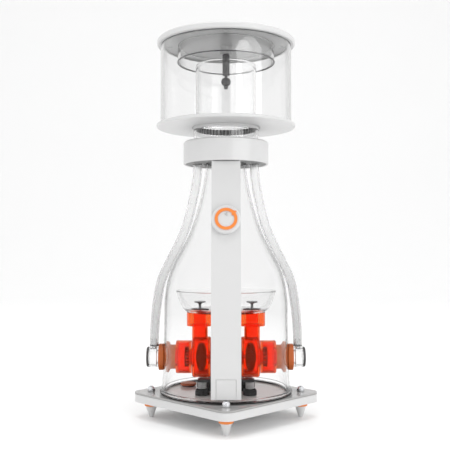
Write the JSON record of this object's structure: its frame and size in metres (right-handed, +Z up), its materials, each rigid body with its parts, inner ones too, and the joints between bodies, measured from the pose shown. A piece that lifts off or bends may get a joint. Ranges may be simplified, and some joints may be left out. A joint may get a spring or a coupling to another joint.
{
  "type": "protein skimmer",
  "caption": "In-sump protein skimmer: clear bottle-shaped body on a square base, red twin pump inside, white outlet column with a dial, side air hoses and a lift-off clear cup.",
  "frame": {"origin": "centre of the footprint on the floor that the feet stand on", "axes": "+Z up along the body's axis, -Y towards the outlet column at the front, +X and -X towards the two pump intakes"},
  "size_m": [0.2408, 0.2408, 0.5117],
  "materials": {
    "white_plastic": "satin",
    "grey_acrylic": "polished",
    "clear_acrylic": "polished, transparent",
    "red_acrylic": "polished, translucent",
    "orange_plastic": "satin",
    "black_plastic": "satin",
    "dark_plastic": "satin",
    "black_rubber": "matt",
    "grey_silicone": "translucent, satin",
    "steel": "polished"
  },
  "bodies": {
    "root": {"base_plate": "white_plastic", "base_cover": "grey_acrylic", "foot_front": "white_plastic", "foot_right": "white_plastic", "foot_rear": "white_plastic", "foot_left": "white_plastic", "base_screw_front": "steel", "base_screw_right": "steel", "base_screw_rear": "steel", "base_screw_left": "steel", "drain_plug": "orange_plastic", "body_seal": "black_rubber", "body_shell": "clear_acrylic", "cable_gland": "black_plastic", "collar": "white_plastic", "air_hose_right": "grey_silicone", "air_hose_left": "grey_silicone", "column_cover": "white_plastic", "outlet_panel": "white_plastic", "motor_housing": "black_plastic", "pump_cradle": "black_plastic", "bearing_right": "black_plastic", "volute_right": "red_acrylic", "intake_barrel_right": "red_acrylic", "intake_sleeve_right": "orange_plastic", "wall_nut_right": "orange_plastic", "intake_cap_right": "clear_acrylic", "outlet_union_right": "red_acrylic", "diffuser_cap_right": "clear_acrylic", "bearing_left": "black_plastic", "volute_left": "red_acrylic", "intake_barrel_left": "red_acrylic", "intake_sleeve_left": "orange_plastic", "wall_nut_left": "orange_plastic", "intake_cap_left": "clear_acrylic", "outlet_union_left": "red_acrylic", "diffuser_cap_left": "clear_acrylic", "pump_foot_front_left": "black_rubber", "pump_foot_front_right": "black_rubber", "pump_foot_rear_left": "black_rubber", "pump_foot_rear_right": "black_rubber", "diffuser_bowl": "clear_acrylic"},
    "dial": {"level_knob": "white_plastic", "knob_ring": "orange_plastic", "valve_disc": "orange_plastic"},
    "rotor": {"rotor_shaft": "steel", "rotor_magnet": "dark_plastic", "impeller_right": "black_plastic", "impeller_left": "black_plastic"},
    "cup": {"cup_floor": "white_plastic", "cup_wall": "clear_acrylic", "cup_riser": "clear_acrylic", "riser_ring": "dark_plastic", "cup_neck": "clear_acrylic", "neck_seal": "black_rubber"},
    "lid": {"lid": "white_plastic", "lid_skirt": "clear_acrylic"},
    "cleaner": {"cleaner_shaft": "dark_plastic", "cleaner_knob": "black_plastic"}
  },
  "joints": [
    {"name": "cup_lift", "type": "slide", "parent": "root", "child": "cup", "axis": [0, 0, 1], "range_m": [0, 0.04]},
    {"name": "lid_lift", "type": "slide", "parent": "cup", "child": "lid", "axis": [0, 0, 1], "range_m": [0, 0.06]},
    {"name": "cleaner_turn", "type": "hinge", "parent": "lid", "child": "cleaner", "pos_m": [0, 0, 0.4925], "axis": [0, 0, 1], "continuous": true},
    {"name": "dial_turn", "type": "hinge", "parent": "root", "child": "dial", "pos_m": [0, -0.067, 0.257], "axis": [0, -0.9724, 0.2334], "range_deg": [-180, 0]},
    {"name": "rotor_spin", "type": "hinge", "parent": "root", "child": "rotor", "pos_m": [0, 0, 0.079], "axis": [1, 0, 0], "continuous": true}
  ]
}
